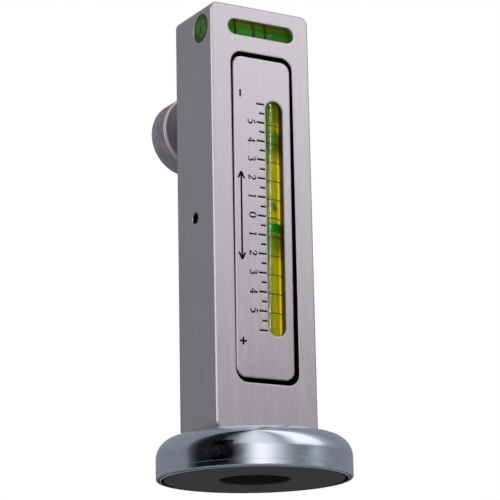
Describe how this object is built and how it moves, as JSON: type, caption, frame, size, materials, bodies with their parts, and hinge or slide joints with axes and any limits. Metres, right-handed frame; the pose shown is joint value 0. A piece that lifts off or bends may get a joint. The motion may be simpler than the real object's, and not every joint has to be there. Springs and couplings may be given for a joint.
{
  "type": "camber caster gauge",
  "caption": "Upright metal bar on a round magnet, with spirit vials behind scale slots on a rocking carriage, a cross level and a knurled adjusting knob, for wheel camber and caster.",
  "frame": {"origin": "centre of the magnet's face, on the axis of the magnet cup", "axes": "+Z from the magnet up along the bar, -Y out of the front face with the camber scale, +X to the right as one looks at that face; the adjusting knob points to +Y"},
  "size_m": [0.056, 0.0651, 0.138],
  "materials": {
    "bar": "brushed lengthwise, clear anodised",
    "block": "milled",
    "plate": "brushed, engraved marks filled black",
    "dark_screw": "black oxide",
    "plate_screw": "bright zinc",
    "vial_tube": "clear, polished",
    "scale_fluid": "yellow-green fluid",
    "cross_fluid": "green fluid",
    "bubble": "air in the fluid",
    "plug": "gloss",
    "knob": "knurled rim and turned face",
    "knob_screw": "bright",
    "washer": "bright zinc",
    "spring": "spring wire",
    "cup": "bright chrome plate",
    "magnet": "dark ferrite"
  },
  "bodies": {
    "body": {"body_frame": "bar", "pivot_screws": "dark_screw", "cross_vial_tube": "vial_tube", "cross_vial_fluid": "cross_fluid", "cross_vial_plugs": "plug", "return_spring": "spring", "knob_spring": "spring", "magnet_cup": "cup", "ring_magnet": "magnet", "base_screw": "dark_screw", "base_washer": "washer"},
    "carriage": {"carriage_block": "block", "camber_plate": "plate", "camber_plate_screws": "plate_screw", "caster_plate": "plate", "caster_plate_screws": "plate_screw", "camber_vial_tube": "vial_tube", "camber_vial_fluid": "scale_fluid", "camber_vial_plugs": "plug", "caster_vial_tube": "vial_tube", "caster_vial_fluid": "scale_fluid", "caster_vial_plugs": "plug", "thrust_button": "dark_screw"},
    "screw_washer": {"knob_washer": "washer"},
    "adjusting_knob": {"adjusting_screw": "knob_screw", "knob_head": "knob"},
    "camber_bubble": {"camber_bubble": "bubble"},
    "caster_bubble": {"caster_bubble": "bubble"},
    "cross_bubble": {"cross_bubble": "bubble"}
  },
  "joints": [
    {"name": "carriage_tilt", "type": "hinge", "parent": "body", "child": "carriage", "pos_m": [-0.0009, 0.0006, 0.0748], "axis": [1, 0, 0], "range_deg": [-2.5, 1.5], "deforming": ["return_spring"]},
    {"name": "screw_travel", "type": "slide", "parent": "body", "child": "screw_washer", "axis": [0, -1, 0], "range_m": [-0.00156, 0.00093], "deforming": ["knob_spring"]},
    {"name": "knob_turn", "type": "hinge", "parent": "screw_washer", "child": "adjusting_knob", "pos_m": [-0.0012, 0.0306, 0.1107], "axis": [0, -1, 0], "range_deg": [-562, 335]},
    {"name": "camber_bubble_slide", "type": "slide", "parent": "carriage", "child": "camber_bubble", "axis": [0, -0.0105, 0.9999], "range_m": [-0.0342, 0.0326], "stiffness_N_per_m": 10},
    {"name": "caster_bubble_slide", "type": "slide", "parent": "carriage", "child": "caster_bubble", "axis": [0, -0.0105, 0.9999], "range_m": [-0.0149, 0.0149], "stiffness_N_per_m": 10},
    {"name": "cross_bubble_slide", "type": "slide", "parent": "body", "child": "cross_bubble", "axis": [1, 0, 0], "range_m": [-0.0061, 0.0129], "stiffness_N_per_m": 10}
  ],
  "couplings": [
    {"joint": "knob_turn", "follows": "screw_travel", "rad_per_m": 6283.2},
    {"joint": "carriage_tilt", "follows": "screw_travel", "rad_per_m": 27.855}
  ]
}
